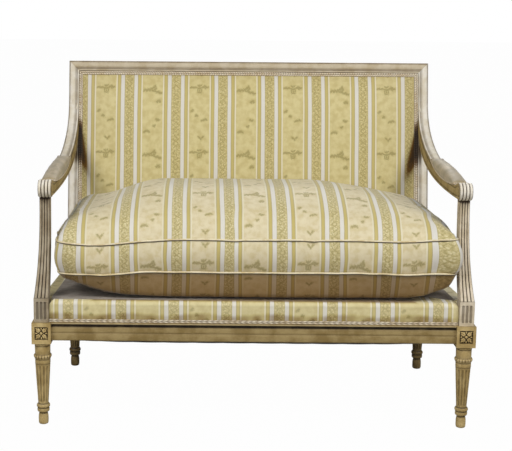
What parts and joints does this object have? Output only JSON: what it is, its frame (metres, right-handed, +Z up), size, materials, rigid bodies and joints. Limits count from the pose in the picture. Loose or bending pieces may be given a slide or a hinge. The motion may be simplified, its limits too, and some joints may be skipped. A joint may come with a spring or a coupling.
{
  "type": "settee",
  "caption": "Two-seat open-arm settee with a painted carved frame, turned fluted legs, padded arms, a tight striped silk back and seat, and one full loose cushion.",
  "frame": {"origin": "on the floor, below the middle of the settee's outer box", "axes": "+X to the right seen from the front, +Y from the front to the back, +Z up"},
  "size_m": [1.2, 0.711, 0.966],
  "materials": {
    "painted_wood": "worn grey-cream paint with a brown glaze in the carving",
    "glazed_wood": "worn olive-beige paint with a brown glaze",
    "bare_beech": "bare beech",
    "striped_silk": "striped silk with small floral sprigs, soft sheen",
    "pad_silk": "plain taupe silk",
    "braid": "woven braid",
    "jute": "coarse jute",
    "hair": "curled hair",
    "cotton": "plain grey-taupe cotton",
    "cambric": "dark thin cambric",
    "down": "down-filled cotton case",
    "spring_steel": "coppered spring wire"
  },
  "bodies": {
    "frame": {"front_leg_left": "glazed_wood", "front_leg_right": "glazed_wood", "rear_post_left": "painted_wood", "rear_post_right": "painted_wood", "seat_rail_left": "glazed_wood", "seat_rail_right": "glazed_wood", "corner_block_front_left": "bare_beech", "corner_block_front_right": "bare_beech", "corner_block_rear_left": "bare_beech", "corner_block_rear_right": "bare_beech", "peg_front_rail_left": "bare_beech", "peg_front_rail_right": "bare_beech", "peg_side_rail_front_left": "bare_beech", "peg_side_rail_front_right": "bare_beech", "peg_back_rail_left": "bare_beech", "peg_back_rail_right": "bare_beech", "peg_side_rail_rear_left": "bare_beech", "peg_side_rail_rear_right": "bare_beech", "arm_post_left": "painted_wood", "arm_post_right": "painted_wood", "arm_left": "painted_wood", "arm_right": "painted_wood", "arm_pad_left": "pad_silk", "arm_pad_right": "pad_silk", "seat_braid_left": "braid", "seat_braid_right": "braid", "back_top_rail": "painted_wood", "back_bottom_rail": "painted_wood", "seat_rail_front": "glazed_wood", "seat_rail_back": "glazed_wood", "seat_cross_rail": "bare_beech", "seat_webbing": "jute", "spring_canvas": "jute", "seat_stuffing": "hair", "seat_border": "striped_silk", "platform_cloth": "cotton", "seat_braid_front": "braid", "dust_cover": "cambric", "back_webbing": "jute", "back_stuffing": "hair", "inside_back_cover": "striped_silk", "back_braid": "braid", "outside_back_cover": "striped_silk", "outside_back_braid": "braid", "seat_spring_1": "spring_steel", "seat_spring_2": "spring_steel", "seat_spring_3": "spring_steel", "seat_spring_4": "spring_steel", "seat_spring_5": "spring_steel", "seat_spring_6": "spring_steel", "seat_spring_7": "spring_steel", "seat_spring_8": "spring_steel", "seat_spring_9": "spring_steel", "seat_spring_10": "spring_steel", "seat_spring_11": "spring_steel", "seat_spring_12": "spring_steel"},
    "cushion": {"cushion_core": "down", "cushion_cover": "striped_silk", "cushion_piping_lower": "striped_silk", "cushion_piping_upper": "striped_silk"}
  },
  "joints": [
    {"name": "cushion_slide", "type": "slide", "parent": "frame", "child": "cushion", "axis": [0, -1, 0], "range_m": [0, 0.62]}
  ]
}
